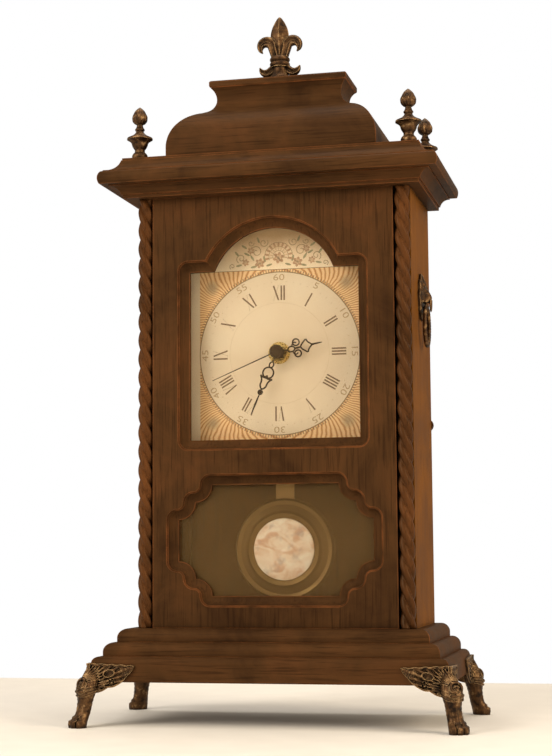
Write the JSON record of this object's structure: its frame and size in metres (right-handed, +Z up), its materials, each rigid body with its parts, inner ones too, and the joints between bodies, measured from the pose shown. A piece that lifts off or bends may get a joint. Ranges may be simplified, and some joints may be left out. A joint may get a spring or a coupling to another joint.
{
  "type": "bracket clock",
  "caption": "Wooden bracket clock: moulded case, rope-twist columns, arched dial, swinging pendulum behind a scalloped window, rear door, cast feet, finials and ring pulls.",
  "frame": {"origin": "on the shelf, under the middle of the feet", "axes": "+Z up, the dial faces -Y, +X to the right seen from the front"},
  "size_m": [0.2808, 0.1533, 0.5123],
  "materials": {
    "case_wood": "satin varnish",
    "inner_wood": "bare",
    "door_wood": "thin stain",
    "button_wood": "satin varnish",
    "cast_brass": "aged, cast",
    "clear_glass": "polished",
    "steel": "plain",
    "clip_steel": "plain",
    "dial_card": "printed, satin",
    "dial_backing": "bare board",
    "movement_plastic": "matt",
    "turned_brass": "turned",
    "washer_rubber": "matt",
    "black_hands": "satin black",
    "pendulum_brass": "lacquered, bright",
    "bob_picture": "printed, gloss",
    "battery_jacket": "gloss",
    "hinge_brass": "plated"
  },
  "bodies": {
    "case": {"plinth": "case_wood", "base_moulding": "case_wood", "floor_board": "inner_wood", "side_panel_left": "case_wood", "side_panel_right": "case_wood", "front_panel": "case_wood", "corner_posts": "inner_wood", "rope_column_left": "case_wood", "rope_column_right": "case_wood", "cornice_cove": "case_wood", "cornice_lip": "case_wood", "deck_board": "case_wood", "caddy_bell": "case_wood", "cap_plate": "case_wood", "fleur_finial": "cast_brass", "front_finial_left": "cast_brass", "front_finial_right": "cast_brass", "rear_finial_left": "cast_brass", "rear_finial_right": "cast_brass", "front_foot_left": "cast_brass", "front_foot_right": "cast_brass", "rear_foot_left": "cast_brass", "rear_foot_right": "cast_brass", "foot_screws": "steel", "dial_glass": "clear_glass", "window_glass": "clear_glass", "glass_clips": "clip_steel", "dial_spacers": "inner_wood", "dial_plate": "dial_card", "dial_board": "dial_backing", "movement_front": "movement_plastic", "movement_cover": "movement_plastic", "fixing_nut": "turned_brass", "rubber_washer": "washer_rubber", "battery": "battery_jacket", "battery_contacts": "steel", "door_stops": "inner_wood", "hinge_leaves_case": "hinge_brass", "hinge_pins": "steel", "button_screw": "steel", "lion_mask_left": "cast_brass", "lion_mask_right": "cast_brass"},
    "hour": {"hour_wheel": "movement_plastic", "hour_hand": "black_hands"},
    "minute": {"minute_arbor": "turned_brass", "minute_hand": "black_hands"},
    "second": {"second_arbor": "steel", "second_hand": "black_hands"},
    "setting": {"minute_wheel": "movement_plastic", "setting_knob": "movement_plastic"},
    "pendulum": {"pendulum_hanger": "movement_plastic", "pendulum_rod": "pendulum_brass", "pendulum_bob": "pendulum_brass", "bob_disc": "bob_picture"},
    "door": {"back_door": "door_wood", "hinge_leaves_door": "hinge_brass"},
    "button": {"turn_button": "button_wood"},
    "ring_left": {"pull_ring_left": "cast_brass"},
    "ring_right": {"pull_ring_right": "cast_brass"}
  },
  "joints": [
    {"name": "minute_turn", "type": "hinge", "parent": "case", "child": "minute", "pos_m": [0, -0.012, 0.2613], "axis": [0, 1, 0], "continuous": true},
    {"name": "hour_turn", "type": "hinge", "parent": "case", "child": "hour", "pos_m": [0, -0.012, 0.2613], "axis": [0, 1, 0], "continuous": true},
    {"name": "second_turn", "type": "hinge", "parent": "case", "child": "second", "pos_m": [0, -0.012, 0.2613], "axis": [0, 1, 0], "continuous": true},
    {"name": "setting_turn", "type": "hinge", "parent": "case", "child": "setting", "pos_m": [0.00848, -0.0066, 0.26978], "axis": [0, 1, 0], "continuous": true},
    {"name": "pendulum_swing", "type": "hinge", "parent": "case", "child": "pendulum", "pos_m": [0, 0.0019, 0.222], "axis": [0, 1, 0], "range_deg": [-9, 9]},
    {"name": "door_swing", "type": "hinge", "parent": "case", "child": "door", "pos_m": [-0.0897, 0.0627, 0.22], "axis": [0, 0, 1], "range_deg": [0, 110]},
    {"name": "button_turn", "type": "hinge", "parent": "case", "child": "button", "pos_m": [0.0954, 0.06, 0.2121], "axis": [0, 1, 0], "range_deg": [-95, 0]},
    {"name": "ring_left_swing", "type": "hinge", "parent": "case", "child": "ring_left", "pos_m": [-0.1036, 0.012, 0.2944], "axis": [0, 1, 0], "range_deg": [0, 60]},
    {"name": "ring_right_swing", "type": "hinge", "parent": "case", "child": "ring_right", "pos_m": [0.1036, 0.012, 0.2944], "axis": [0, -1, 0], "range_deg": [0, 60]}
  ],
  "couplings": [
    {"joint": "minute_turn", "follows": "second_turn", "ratio": 0.016667},
    {"joint": "hour_turn", "follows": "second_turn", "ratio": 0.0013889},
    {"joint": "setting_turn", "follows": "second_turn", "ratio": -0.0055556}
  ]
}
